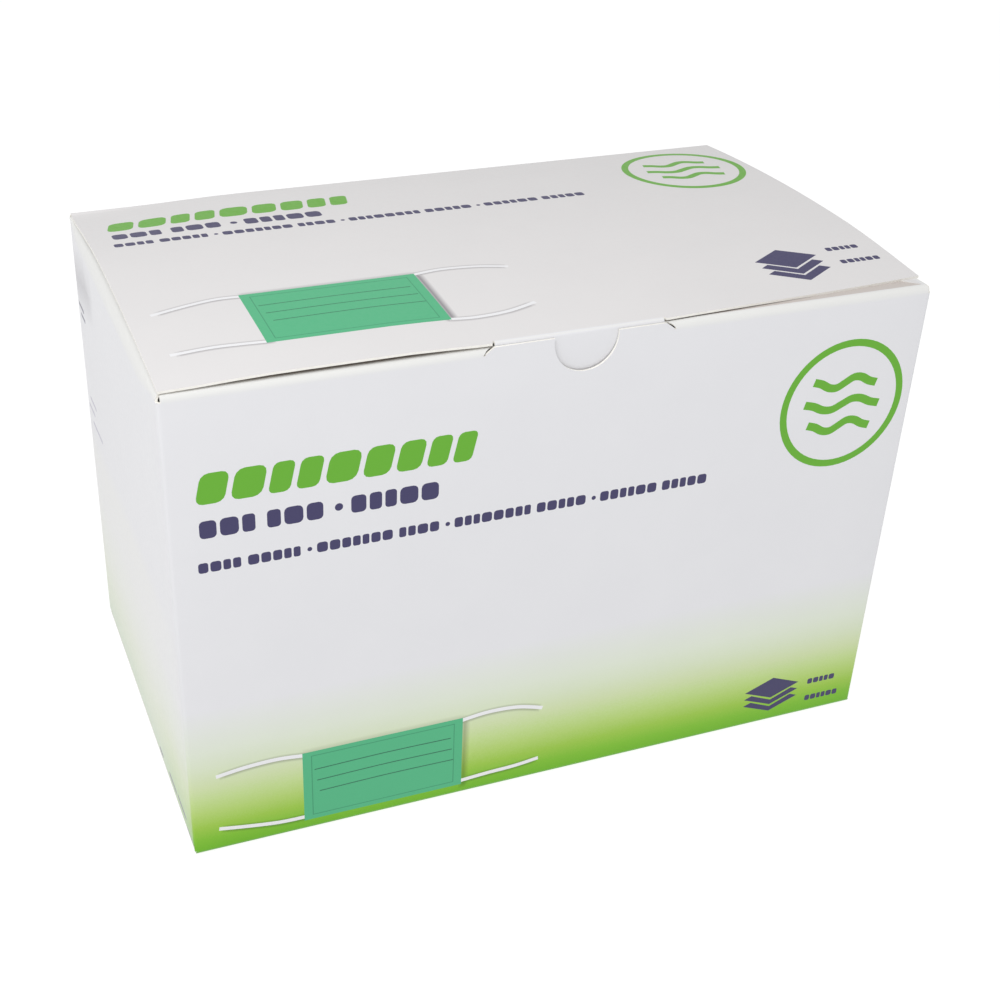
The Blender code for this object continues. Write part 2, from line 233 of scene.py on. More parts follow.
def mixed(tree, mode, factor, first, second):
    """A colour mix. Each of factor, first and second is a socket, a number or a colour."""
    node = add_node(tree, "ShaderNodeMix", data_type="RGBA", blend_type=mode)
    for slot, value in ((0, factor), (6, first), (7, second)):
        if isinstance(value, bpy.types.NodeSocket):
            tree.links.new(value, node.inputs[slot])
        else:
            node.inputs[slot].default_value = value
    return node.outputs[2]


def linear(red, green, blue):
    """A colour given in display values from 0 to 255."""
    parts = [c / 255 for c in (red, green, blue)]
    return (*[p / 12.92 if p <= 0.04045 else ((p + 0.055) / 1.055) ** 2.4 for p in parts], 1.0)


SHADE_COLOUR = linear(150, 146, 152)
# the colour that the painted highlight along folds and the painted sheen on end walls pale towards
PAINTED_SHEEN_COLOUR = linear(222, 222, 220)
WALL_WHITE = linear(220, 220, 223)
BASE_GREENS = (  # share of the green's height, and the colour there
    (0.0, linear(101, 172, 20)),
    (0.09, linear(120, 182, 38)),
    (0.18, linear(149, 191, 66)),
    (0.27, linear(171, 201, 106)),
    (0.36, linear(186, 209, 138)),
    (0.45, linear(199, 213, 166)),
    (0.57, linear(208, 218, 191)),
    (0.68, linear(214, 221, 205)),
    (0.95, WALL_WHITE),
)
BASE_GREEN_HEIGHT = 0.0465
GREEN_GRAIN = 0.0006  # the fine unevenness of the fade
NOISE_LOW, NOISE_HIGH = 0.3, 0.7  # where most of a noise's values lie
MOTTLE = 0.035
MOTTLE_COLOUR = linear(190, 190, 200)
COAT_SMOOTH, COAT_ROUGH = 0.30, 0.40
COAT_IOR = 1.36


def coated(name, colour, green_base=False, shaded=True, takes_sheen=False):
    """Printed board under a thin satin varnish, with a faint mottle and a fine paper tooth.

    Where it is shaded or takes painted highlight, its shade values darken and its pale values pale it.
    """
    material, tree, shader = new_material(name)
    place = add_node(tree, "ShaderNodeTexCoord").outputs["Object"]
    paint = colour
    if green_base:
        split = add_node(tree, "ShaderNodeSeparateXYZ")
        tree.links.new(place, split.inputs["Vector"])
        grain = noise_at(tree, place, 2600.0, 2.0)
        grain = ranged(tree, grain, NOISE_LOW, NOISE_HIGH, -GREEN_GRAIN, GREEN_GRAIN)
        total = add_node(tree, "ShaderNodeMath", operation="ADD")
        tree.links.new(split.outputs["Z"], total.inputs[0])
        tree.links.new(grain, total.inputs[1])
        ramp = add_node(tree, "ShaderNodeValToRGB")
        stops = ramp.color_ramp.elements
        while len(stops) < len(BASE_GREENS):
            stops.new(0.5)
        for stop, (position, green) in zip(stops, BASE_GREENS):
            stop.position = position
            stop.color = green
        share = ranged(tree, total.outputs[0], 0.0, BASE_GREEN_HEIGHT, 0.0, 1.0)
        tree.links.new(share, ramp.inputs["Fac"])
        paint = ramp.outputs["Color"]
    mottle = ranged(tree, noise_at(tree, place, 60.0, 4.0, 0.6), NOISE_LOW, NOISE_HIGH, 0.0, MOTTLE)
    paint = mixed(tree, "MULTIPLY", mottle, paint, MOTTLE_COLOUR)
    # the pale attribute: painted highlight along the folds and painted sheen on the end walls
    if takes_sheen:
        pale = add_node(tree, "ShaderNodeAttribute", attribute_name="pale")
        paint = mixed(tree, "MIX", pale.outputs["Fac"], paint, PAINTED_SHEEN_COLOUR)
    if shaded:
        shade = add_node(tree, "ShaderNodeAttribute", attribute_name="shade")
        paint = mixed(tree, "MULTIPLY", shade.outputs["Fac"], paint, SHADE_COLOUR)
    tree.links.new(paint, shader.inputs["Base Color"])
    rough = noise_at(tree, place, 900.0, 3.0)
    rough = ranged(tree, rough, NOISE_LOW, NOISE_HIGH, COAT_SMOOTH, COAT_ROUGH)
    tree.links.new(rough, shader.inputs["Roughness"])
    shader.inputs["IOR"].default_value = COAT_IOR
    tooth = add_node(tree, "ShaderNodeBump")
    tooth.inputs["Strength"].default_value = 0.10
    tooth.inputs["Distance"].default_value = 0.00006
    tree.links.new(noise_at(tree, place, 1900.0, 4.0, 0.65), tooth.inputs["Height"])
    wave = add_node(tree, "ShaderNodeBump")
    wave.inputs["Strength"].default_value = 0.25
    wave.inputs["Distance"].default_value = 0.0006
    tree.links.new(noise_at(tree, place, 38.0, 1.0), wave.inputs["Height"])
    tree.links.new(tooth.outputs["Normal"], wave.inputs["Normal"])
    tree.links.new(wave.outputs["Normal"], shader.inputs["Normal"])
    return material


def fibrous(name, colour, fleck, rough):
    """Uncoated board: soft fibre flecks and a matt, slightly furry surface."""
    material, tree, shader = new_material(name)
    place = add_node(tree, "ShaderNodeTexCoord").outputs["Object"]
    flecks = ranged(tree, noise_at(tree, place, 1400.0, 5.0, 0.75), 0.42, 0.68, 0.0, 0.55)
    tree.links.new(mixed(tree, "MIX", flecks, colour, fleck), shader.inputs["Base Color"])
    shader.inputs["Roughness"].default_value = rough
    bump = add_node(tree, "ShaderNodeBump")
    bump.inputs["Strength"].default_value = 0.35
    bump.inputs["Distance"].default_value = 0.00008
    tree.links.new(noise_at(tree, place, 2200.0, 5.0, 0.7), bump.inputs["Height"])
    tree.links.new(bump.outputs["Normal"], shader.inputs["Normal"])
    return material


INKS = {
    "coated": coated("coated_white", linear(217, 215, 215), takes_sheen=True),
    # painted shade: the front flap's darker beige stands for the shade under the lid's edge and its warm
    # bounce
    "flap": coated("flap_painted_shade", linear(196, 188, 183), takes_sheen=True),
    "wall": coated("coated_white_green_base", WALL_WHITE, green_base=True, takes_sheen=True),
    "leaf": coated("ink_leaf_green", linear(98, 168, 44)),
    "navy": coated("ink_navy", linear(62, 58, 96)),
    "grey": coated("ink_pale_grey", linear(184, 181, 194)),
    "dusk": coated("ink_dark_grey", linear(122, 120, 136)),
    "mask": coated("ink_mask_green", linear(78, 174, 126), shaded=False),
    "pleat": coated("ink_pleat_line", linear(40, 98, 76), shaded=False),
    "stitch": coated("ink_stitch_line", linear(58, 142, 104), shaded=False),
    "tie": coated("ink_white", linear(228, 228, 230), shaded=False),
    "bleed": coated("ink_base_green", linear(108, 172, 56)),
}
RAW = fibrous("uncoated_board", linear(203, 196, 184), linear(178, 168, 152), 0.85)
CUT = fibrous("cut_edge", linear(238, 236, 231), linear(222, 218, 210), 0.9)


# Flat shapes


def spread(start, end, steps):
    return [start + (end - start) * i / steps for i in range(steps + 1)]


def arc(centre, radius, start, end, steps):
    """Points on an arc, from one angle to another, in degrees."""
    angles = [math.radians(a) for a in spread(start, end, steps)]
    return [(centre[0] + radius * math.cos(a), centre[1] + radius * math.sin(a)) for a in angles]


def bar(x, y, width, height, slant=0.0, rounding=0.5, steps=4):
    """A bar with round corners, leaning to the right by its slant."""
    r = min(width, height) * rounding
    corners = ((width - r, r, -90), (width - r, height - r, 0), (r, height - r, 90), (r, r, 180))
    ring = [p for cx, cy, a in corners for p in arc((x + cx, y + cy), r, a, a + 90, steps)]
    return [(px + slant * (py - y), py) for px, py in ring]


# Blocks, as shares of a row's height
BLOCK_WIDTHS = (0.86, 0.70, 0.94, 0.62, 0.80, 0.98, 0.66)
BLOCK_ROUNDING = 0.28
BLOCK_GAP = 0.17
GROUP_GAP = 0.42
DOT_SIZE = 0.22


def block_row(x, y, height, groups, slant=0.0):
    """A row of plain blocks. Each group gives how many stand together, and 0 is a dot."""
    shapes = []
    turn = 0
    for count in groups:
        if count == 0:
            radius = height * DOT_SIZE
            shapes.append(arc((x + radius, y + height * 0.5), radius, 0, 330, 11))
            x += 2 * radius
        for _ in range(count):
            width = height * BLOCK_WIDTHS[turn % len(BLOCK_WIDTHS)]
            turn += 2 + turn % 3
            shapes.append(bar(x, y, width, height, slant, BLOCK_ROUNDING, 3))
            x += width + BLOCK_GAP * height
        x += GROUP_GAP * height
    return shapes


def rectangle(left, right, low, high):
    return [(left, low), (right, low), (right, high), (left, high)]


def curve_through(points, steps=8):
    """A smooth line through a few points."""
    ends = [points[0], *points, points[-1]]
    line = []
    for a, b, c, d in zip(ends, ends[1:], ends[2:], ends[3:]):
        for i in range(steps):
            t = i / steps
            weights = (
                -0.5 * t + t * t - 0.5 * t**3,
                1 - 2.5 * t * t + 1.5 * t**3,
                0.5 * t + 2 * t * t - 1.5 * t**3,
                -0.5 * t * t + 0.5 * t**3,
            )
            line.append(tuple(sum(w * p[k] for w, p in zip(weights, (a, b, c, d))) for k in range(2)))
    line.append(tuple(points[-1]))
    return line


def sideways(line, distance):
    """The line moved to its left by a distance, which may change along it."""
    moved = []
    for i, (x, y) in enumerate(line):
        before, after = line[max(i - 1, 0)], line[min(i + 1, len(line) - 1)]
        dx, dy = after[0] - before[0], after[1] - before[1]
        length = math.hypot(dx, dy)
        moved.append((x - dy / length * distance, y + dx / length * distance))
    return moved


def ribbon(points, width, steps=8):
    line = curve_through(points, steps) if len(points) > 2 else list(points)
    return sideways(line, width / 2) + sideways(line, -width / 2)[::-1]


# Die-cut boards


def halo(line, half):
    """A ring round a line at this distance, past its ends too."""
    (ax, ay), (bx, by), (cx, cy), (dx, dy) = line[0], line[1], line[-2], line[-1]
    start, end = math.hypot(bx - ax, by - ay), math.hypot(dx - cx, dy - cy)
    first = (ax - (bx - ax) / start * half, ay - (by - ay) / start * half)
    last = (dx + (dx - cx) / end * half, dy + (dy - cy) / end * half)
    longer = [first, *line, last]
    return sideways(longer, half) + sideways(longer, -half)[::-1]


def inside(ring, points):
    """Which of the points lie inside a closed ring."""
    x, y = points[:, 0], points[:, 1]
    result = np.zeros(len(points), bool)
    for (x0, y0), (x1, y1) in zip(ring, ring[1:] + ring[:1]):
        if y0 == y1:
            continue
        crosses = (y0 > y) != (y1 > y)
        result ^= crosses & (x < (x1 - x0) * (y - y0) / (y1 - y0) + x0)
    return result


def closeness(line, half, points):
    """1 on a line, falling to 0 at this distance from it."""
    best = np.full(len(points), np.inf)
    for a, b in zip(line, line[1:]):
        a, b = np.array(a), np.array(b)
        along = b - a
        t = np.clip(((points - a) @ along) / (along @ along), 0, 1)
        best = np.minimum(best, np.linalg.norm(points - a - t[:, None] * along, axis=1))
    return np.clip(1 - best / half, 0, 1)


def cut_flat(outline, rings, open_lines, cuts_u, cuts_v):
    """Triangles of a flat outline in millimetres, with every ring and line as edges."""
    points, edges = [], []

    def chain(line, closed):
        first = len(points)
        points.extend(line)
        edges.extend((first + i, first + i + 1) for i in range(len(line) - 1))
        if closed:
            edges.append((first + len(line) - 1, first))

    chain(outline, True)
    for ring in rings:
        chain(ring, True)
    for line in open_lines:
        chain(line, False)
    corners = np.array(outline)
    (low_u, low_v), (high_u, high_v) = corners.min(0) - 0.5, corners.max(0) + 0.5
    for u in cuts_u:
        chain([(u, low_v), (u, high_v)], False)
    for v in cuts_v:
        chain([(low_u, v), (high_u, v)], False)
    made = geometry.delaunay_2d_cdt([Vector(p) for p in points], edges, [], 0, 1e-4)
    flat = np.array([tuple(v) for v in made[0]])
    faces = np.array([tuple(f) for f in made[2]])
    a, b, c = flat[faces[:, 0]], flat[faces[:, 1]], flat[faces[:, 2]]
    area = np.cross(b - a, c - a) / 2
    middle = (a + b + c) / 3
    keep = inside(outline, middle) & (area > 1e-6)
    return flat, faces[keep], middle[keep]


def normal_at(place, u, v):
    step = 1e-5
    across = place(u + step, v) - place(u - step, v)
    along = place(u, v + step) - place(u, v - step)
    return across.cross(along).normalized()


def leaning(point):
    """The sleeve's slight lean at its left back corner, which the boards above share."""
    back = min(max(point.y / (2 * HALF_DEPTH) + 0.5, 0.0), 1.0)
    left = min(max(-point.x / HALF_WIDTH, 0.0), 1.0)
    up = min(max(point.z / HEIGHT, 0.0), 1.0)
    return point + Vector((SIDE_LEAN * back * smooth(left) * up, 0, 0))


def millimetres(ring):
    return [(u / MM, v / MM) for u, v in ring]


def in_mm(values):
    return [value / MM for value in values]


def no_sheen(u, v):
    return 0.0


def board(name, outline, place, columns, rows, ground="coated", inks=(), shades=(), sheen_at=no_sheen):
    """A bent sheet of board with its inks. place gives the point of the bent sheet at (u, v).

    Lengths are in metres, apart from those of inks and shades, which are in millimetres. columns and
    rows are where the sheet is cut so that it can bend. inks are (ink, ring) pairs, where a later one
    lies over an earlier one. shades are (line, half width, strength) triples of soft shade. The last
    argument tells how far the painted highlight and painted sheen pale the print at (u, v).
    """
    rings = [ring for _, ring in inks] + [halo(line, half) for line, half, _ in shades]
    lines = [line for line, _, _ in shades]
    flat, faces, middle = cut_flat(millimetres(outline), rings, lines, in_mm(columns), in_mm(rows))
    used = np.unique(faces)
    renumber = np.full(len(flat), -1)
    renumber[used] = np.arange(len(used))
    flat, faces = flat[used], renumber[faces]
    slots = [ground] + sorted({ink for ink, _ in inks} - {ground})
    slot_of = np.zeros(len(faces), int)
    for ink, ring in inks:
        slot_of[inside(ring, middle)] = slots.index(ink)
    shade = np.zeros(len(flat))
    for line, half, strength in shades:
        shade = np.maximum(shade, strength * closeness(line, half, flat))
    outer, inner = [], []
    for u, v in flat * MM:
        point = place(u, v)
        outer.append(leaning(point))
        inner.append(leaning(point - normal_at(place, u, v) * BOARD))
    count = len(outer)
    sides = {}
    for a, b, c in faces:
        for edge in ((a, b), (b, c), (c, a)):
            sides[edge] = True
    rim = [(int(b), int(a), int(a) + count, int(b) + count) for a, b in sides if (b, a) not in sides]
    polygons = [tuple(int(i) for i in face) for face in faces]
    polygons += [tuple(int(i) + count for i in face[::-1]) for face in faces]
    polygons += rim
    mesh = bpy.data.meshes.new(name)
    mesh.from_pydata(outer + inner, [], polygons)
    for slot in slots:
        mesh.materials.append(INKS[slot])
    mesh.materials.append(RAW)
    mesh.materials.append(CUT)
    numbers = list(slot_of) + [len(slots)] * len(faces) + [len(slots) + 1] * len(rim)
    mesh.polygons.foreach_set("material_index", np.array(numbers, np.int32))
    # pale values: painted highlight along the folds and painted sheen on the end walls
    pale = np.array([sheen_at(u, v) for u, v in flat * MM])
    for layer, amount in (("shade", shade), ("pale", pale)):
        values = mesh.attributes.new(layer, "FLOAT", "POINT")
        values.data.foreach_set("value", np.concatenate([amount, np.zeros(count)]).astype(np.float32))
    mesh.shade_smooth()
    mesh.set_sharp_from_angle(angle=math.radians(40.0))
    mesh.validate()
    piece = bpy.data.objects.new(name, mesh)
    bpy.context.scene.collection.objects.link(piece)
    return piece


# Bends


def bent(distance, straight, radius, turn):
    """Where a strip has got to that runs straight, turns round an arc and runs straight again."""
    if distance <= straight:
        return distance, 0.0
    angle = min((distance - straight) / radius, turn)
    rest = max(distance - straight - radius * turn, 0.0)
    ahead = straight + radius * math.sin(angle) + rest * math.cos(turn)
    return ahead, radius * (1 - math.cos(angle)) + rest * math.sin(turn)


def smooth(share):
    share = min(max(share, 0.0), 1.0)
    return share * share * (3 - 2 * share)


def fold_highlight(past):
    """How strongly the painted highlight pales the print at this distance past the start of a fold."""
    return smooth(0.5 + past / (2 * HIGHLIGHT_FADE))


def end_wall_sheen(past):
    """How much the painted sheen pales the base green on an end wall, this far past its front corner."""
    return END_WALL_SHEEN_STRENGTH * (0.5 * smooth(past / CORNER_ARC) + 0.5 * smooth(past / END_WALL_FADE))


CORNER_ARC = CORNER_RADIUS * QUARTER
LEFT_LENGTH = 2 * HALF_DEPTH - SEAM_STEP - CORNER_RADIUS
FRONT_START = LEFT_LENGTH + CORNER_ARC
FRONT_LENGTH = 2 * (HALF_WIDTH - CORNER_RADIUS)
RIGHT_START = FRONT_START + FRONT_LENGTH + CORNER_ARC
RIGHT_LENGTH = 2 * (HALF_DEPTH - CORNER_RADIUS)
BACK_START = RIGHT_START + RIGHT_LENGTH + CORNER_ARC
BACK_LENGTH = 2 * HALF_WIDTH - CORNER_RADIUS - GAP
SLEEVE_END = BACK_START + BACK_LENGTH
WALLS = (
    (0.0, LEFT_LENGTH, Vector((-HALF_WIDTH, HALF_DEPTH - SEAM_STEP, 0)), Vector((0, -1, 0))),
    (FRONT_START, FRONT_LENGTH, Vector((CORNER_RADIUS - HALF_WIDTH, -HALF_DEPTH, 0)), Vector((1, 0, 0))),
    (RIGHT_START, RIGHT_LENGTH, Vector((HALF_WIDTH, CORNER_RADIUS - HALF_DEPTH, 0)), Vector((0, 1, 0))),
    (BACK_START, BACK_LENGTH, Vector((HALF_WIDTH - CORNER_RADIUS, HALF_DEPTH, 0)), Vector((-1, 0, 0))),
)


def left_s(y):
    return HALF_DEPTH - SEAM_STEP - y


def front_s(x):
    return FRONT_START + x + HALF_WIDTH - CORNER_RADIUS


def right_s(y):
    return RIGHT_START + y + HALF_DEPTH - CORNER_RADIUS


def sleeve_place(s, z):
    """A point of the four walls: s runs round them from the seam, past the left wall to the front."""
    wall = max(i for i in range(4) if i == 0 or s >= WALLS[i][0])
    start, length, corner, heading = WALLS[wall]
    inward = Vector((-heading.y, heading.x, 0))
    ahead, aside = bent(s - start, length, CORNER_RADIUS, QUARTER if wall < 3 else 0.0)
    across = min(max((s - start) / length, 0.0), 1.0)
    up = min(max(z / (HEIGHT - DUST_DROP), 0.0), 1.0)
    dent = PANEL_DENT * (16 * across * (1 - across) * up * (1 - up)) ** 1.5
    return corner + heading * ahead + inward * (aside + dent) + Vector((0, 0, z))


def ease(y):
    """0 where a side's fold starts at a corner, 1 along its middle."""
    front = (y + HALF_DEPTH - CORNER_SLOT) / DUST_EASE_FRONT
    back = (HALF_DEPTH - CORNER_SLOT - y) / DUST_EASE_BACK
    return smooth(min(front, back))


def side_drop(y):
    return DUST_CORNER_DROP + (DUST_DROP - DUST_CORNER_DROP) * ease(y)


def side_reach(y):
    return DUST_CORNER_REACH + (DUST_FOLD_REACH - DUST_CORNER_REACH) * ease(y)


def fold(v, reach, drop, blade_start):
    """How far in and how far under the top a flap is, v along its board. Its fold is a quarter oval."""
    angle = min(v / blade_start, 1.0) * QUARTER
    return reach * (1 - math.cos(angle)) + max(v - blade_start, 0.0), drop * (1 - math.sin(angle))


def corner_dip(x, y):
    """How far the boards sink at the carton's left back corner."""
    distance = math.hypot(x + HALF_WIDTH, HALF_DEPTH - y)
    return BACK_CORNER_DIP * smooth(1 - distance / BACK_CORNER_DIP_LENGTH)


def lid_lift(x, y):
    """How far the lid's front edge stands up from its fold, on each side of the tongue."""
    fade = smooth(1 - (y + HALF_DEPTH) / LIFT_LENGTH)
    lip_left, lip_right = LIP_X - LIP_TOP_WIDTH / 2, LIP_X + LIP_TOP_WIDTH / 2
    left = LEFT_LIFT * smooth((lip_left - x) / LIP_RAMP) * smooth((x + HALF_WIDTH) / LEFT_RAMP)
    right = RIGHT_LIFT * smooth((x - lip_right) / RIGHT_RAMP)
    corner = LEFT_CORNER_SINK * smooth(1 - (x + HALF_WIDTH) / SINK_RAMP)
    return (left + right - corner) * fade


def lid_top(y):
    share = min(max((y + HALF_DEPTH) / (2 * HALF_DEPTH), 0.0), 1.0)
    return LID_FRONT_TOP - LID_FALL * share + LID_BOW * 4 * share * (1 - share)


# Prints, in millimetres. On the front and on the lid x is across the carton.

TIE_WIDTH = 1.1
TIE_SHADE_HALF = 1.35
TIE_SHADE_SHIFT = (0.05, -0.12)
MASK_SHADE_HALF = 1.5
MASK_TOP_SHADE_HALF = 1.2
MASK_TOP_SHADE = 0.45  # strength along the top, as a share of the right edge's
STITCH_INSET = 2.2
STITCH_RISE = 0.06  # share of the mask's height
STITCH_WIDTH = 0.22
PLEAT_WIDTH = 0.27
PLEAT_TOP = 0.265  # the first pleat's distance from the top, as a share of the mask's height
PLEAT_STEP = 0.165
PLEAT_INSETS = (3.0, 3.2)  # of the first pleat's ends from the mask's sides
PLEAT_SHIFTS = (0.6, 0.4)  # how far the ends move to the right from pleat to pleat
PLEAT_RISES = (-0.1, 0.25, 0.05)  # of its start, middle and end over its level
TOP_SHADE_LINE = ((1.0, 0.2), (-0.5, 0.2))  # from the mask's two top corners
SIDE_SHADE_LINE = ((0.3, -0.6), (0.6, -2.0), (0.5, 0.0))  # the last is from its foot
SHEET_MARGINS = (0.9, 0.7)  # pale edge beside and below an upper sheet
LEAF_ROW_SLANT = 0.22
LARGE_BLOCKS = (9,)
MIDDLE_BLOCKS = (3, 3, 0, 5)
SMALL_BLOCKS = (4, 5, 0, 7, 4, 0, 8, 5, 0, 6, 5)

# Shares of a badge's size. A wave has its height and width.
BADGE_INSIDE = 0.445
WAVES = ((0.17, 0.52), (0.0, 0.62), (-0.17, 0.52))
WAVE_RISE = 0.035
WAVE_WIDTH = 0.062

# Shares of the height of the sheets' sign
SHEET_RISE = 0.30  # from a sheet's middle to its far corner
SHEET_STEP = 0.20


def shifted(line, shift):
    return [(x + shift[0], y + shift[1]) for x, y in line]


def badge(x, y, size):
    """A plain round sign: a green ring round three air waves."""
    shapes = [("leaf", arc((x, y), size / 2, 0, 354, 60))]
    shapes.append(("ground", arc((x, y), size * BADGE_INSIDE, 0, 354, 60)))
    for row, share in WAVES:
        line = []
        for t in spread(-1, 1, 8):
            rise = row + WAVE_RISE * math.sin(t * math.pi * 1.5)
            line.append((x + size * share / 2 * t, y + size * rise))
        shapes.append(("leaf", ribbon(line, size * WAVE_WIDTH, 4)))
    return shapes


def layers_sign(x, y, width, height):
    """A plain sign of three sheets lying on each other."""
    shapes = []
    half, rise = width / 2, height * SHEET_RISE
    beside, below = SHEET_MARGINS
    for i in range(3):
        level = y + rise + i * height * SHEET_STEP
        top = (x + half, level + rise)
        if i > 0:
            margin = [(x - beside, level), (x + half, level - rise - below)]
            shapes.append(("ground", margin + [(x + width + beside, level), top]))
        shapes.append(("navy", [(x, level), (x + half, level - rise), (x + width, level), top]))
    return shapes


def mask_picture(left, right, low, high, ties, depth):
    """A pleated mask with its four ties. Gives its inks and the soft shade behind it."""
    inks, shades = [], []
    for points in ties:
        shadow = shifted(points, TIE_SHADE_SHIFT)
        shades.append((curve_through(shadow, 6)[:-2], TIE_SHADE_HALF, 1.0))
        inks.append(("tie", ribbon(points, TIE_WIDTH)))
    corners = ((left, high), (right, high))
    top_edge = [(x + dx, y + dy) for (x, y), (dx, dy) in zip(corners, TOP_SHADE_LINE)]
    corners = ((right, high), (right, high), (right, low))
    right_edge = [(x + dx, y + dy) for (x, y), (dx, dy) in zip(corners, SIDE_SHADE_LINE)]
    shades.append((top_edge, MASK_TOP_SHADE_HALF, depth * MASK_TOP_SHADE))
    shades.append((right_edge, MASK_SHADE_HALF, depth))
    inks.append(("mask", rectangle(left, right, low, high)))
    for inset, ink in ((0.0, "stitch"), (STITCH_WIDTH, "mask")):
        x, y = STITCH_INSET + inset, (high - low) * STITCH_RISE + inset
        inks.append((ink, rectangle(left + x, right - x, low + y, high - y)))
    for i in range(3):
        level = high - (high - low) * (PLEAT_TOP + PLEAT_STEP * i)
        start = left + PLEAT_INSETS[0] + PLEAT_SHIFTS[0] * i
        end = right - PLEAT_INSETS[1] + PLEAT_SHIFTS[1] * i
        line = [(x, level + rise) for x, rise in zip((start, (start + end) / 2, end), PLEAT_RISES)]
        inks.append(("pleat", ribbon(line, PLEAT_WIDTH)))
    return inks, shades


# Each face's layout. A row has its ink, left end, foot, height, blocks and slant. A badge has its
# middle and size. Sheets have their left end, foot, width and height. A mask has its left, right,
# foot and top. A tie has four points from the mask outward.
Face = namedtuple("Face", "rows badge sheets mask mask_shade ties")
FRONT_FACE = Face(
    rows=(
        ("leaf", -88.6, 99.4, 7.6, LARGE_BLOCKS, LEAF_ROW_SLANT),
        ("navy", -88.0, 90.8, 4.5, MIDDLE_BLOCKS, 0.0),
        ("navy", -88.8, 82.0, 2.65, SMALL_BLOCKS, 0.0),
        ("navy", 79.5, 9.8, 1.8, (5,), 0.0),
        ("navy", 79.5, 4.0, 1.8, (6,), 0.0),
    ),
    badge=(74.5, 98.0, 35.0),
    sheets=(59.5, 3.4, 17.0, 11.4),
    mask=(-66.6, -24.2, 3.0, 24.7),
    mask_shade=0.6,
    ties=(
        [(-66.2, 24.0), (-73.0, 24.7), (-81.0, 24.4), (-88.3, 23.4)],
        [(-66.2, 4.2), (-73.0, 4.4), (-81.0, 5.5), (-88.4, 6.8)],
        [(-24.4, 24.0), (-17.0, 24.8), (-9.0, 24.3), (-2.0, 22.3)],
        [(-24.4, 4.2), (-17.0, 4.7), (-9.0, 5.0), (-2.4, 5.8)],
    ),
)
LID_FACE = Face(
    rows=(
        ("leaf", -88.6, 34.8, 7.6, LARGE_BLOCKS, LEAF_ROW_SLANT),
        ("navy", -88.2, 27.2, 4.4, MIDDLE_BLOCKS, 0.0),
        ("navy", -89.0, 20.8, 2.65, SMALL_BLOCKS, 0.0),
        ("navy", 79.5, -33.6, 1.9, (5,), 0.0),
        ("navy", 79.5, -40.6, 1.9, (6,), 0.0),
    ),
    badge=(74.5, 33.0, 35.0),
    sheets=(58.0, -46.5, 17.5, 17.0),
    mask=(-67.8, -25.0, -43.3, -17.8),
    mask_shade=0.9,
    ties=(
        [(-67.0, -18.6), (-73.0, -18.4), (-80.0, -19.9), (-89.0, -22.7)],
        [(-67.0, -42.8), (-73.0, -42.2), (-80.0, -41.7), (-88.8, -42.2)],
        [(-25.6, -18.4), (-18.0, -17.2), (-9.0, -18.0), (-1.6, -20.2)],
        [(-25.6, -43.0), (-19.0, -43.6), (-11.0, -42.8), (-3.2, -40.2)],
    ),
)

# Small marks on the left wall: ink, place along the sleeve, foot and width
MARK_HEIGHT = 1.1
SIDE_MARKS = (
    ("dusk", 0.8, 101.8, 8.0),
    ("dusk", 3.2, 99.4, 6.4),
    ("grey", 4.5, 75.2, 9.0),
    ("grey", 1.5, 71.8, 8.5),
    ("grey", 5.5, 68.0, 13.5),
    ("dusk", 71.5, 3.4, 4.6),
    ("dusk", 83.5, 4.2, 9.0),
    ("dusk", 93.5, 4.8, 10.0),
    ("dusk", 103.5, 2.2, 6.5),
)
# Painted soft shade near the left wall's top back corner: line, half width and strength
SIDE_SHADE = ([(2.0, 109.5), (18.0, 112.0)], 9.5, 0.42)


def face_print(face, ground):
    """Inks and shades of one printed face. Its ground shows inside the badge and round the sheets."""
    inks = []
    for ink, x, y, height, groups, slant in face.rows:
        inks += [(ink, ring) for ring in block_row(x, y, height, groups, slant)]
    inks += badge(*face.badge) + layers_sign(*face.sheets)
    picture, shades = mask_picture(*face.mask, face.ties, face.mask_shade)
    return [(ground if ink == "ground" else ink, ring) for ink, ring in inks + picture], shades


def wall_prints():
    """Inks and shades of the walls, in the flat sleeve. The back has the front's layout."""
    inks = [(ink, bar(s, z, width, MARK_HEIGHT)) for ink, s, z, width in SIDE_MARKS]
    shades = [SIDE_SHADE]
    face_inks, face_shades = face_print(FRONT_FACE, "wall")
    for origin in (front_s(0.0), BACK_START + HALF_WIDTH - CORNER_RADIUS):
        shift = (origin / MM, 0.0)
        inks += [(ink, shifted(ring, shift)) for ink, ring in face_inks]
        shades += [(shifted(line, shift), half, strength) for line, half, strength in face_shades]
    return inks, shades


# Boards of the carton


def side_top(to_s, stations):
    return [(to_s(y), HEIGHT - side_drop(y)) for y in stations]


def arc_cuts(start):
    return spread(start, start + CORNER_ARC, 6)


def side_stations(front, back):
    """Places along a side, closer together where its fold changes."""
    return spread(front, front + DUST_EASE_FRONT, 10) + spread(back - DUST_EASE_BACK, back, 8)


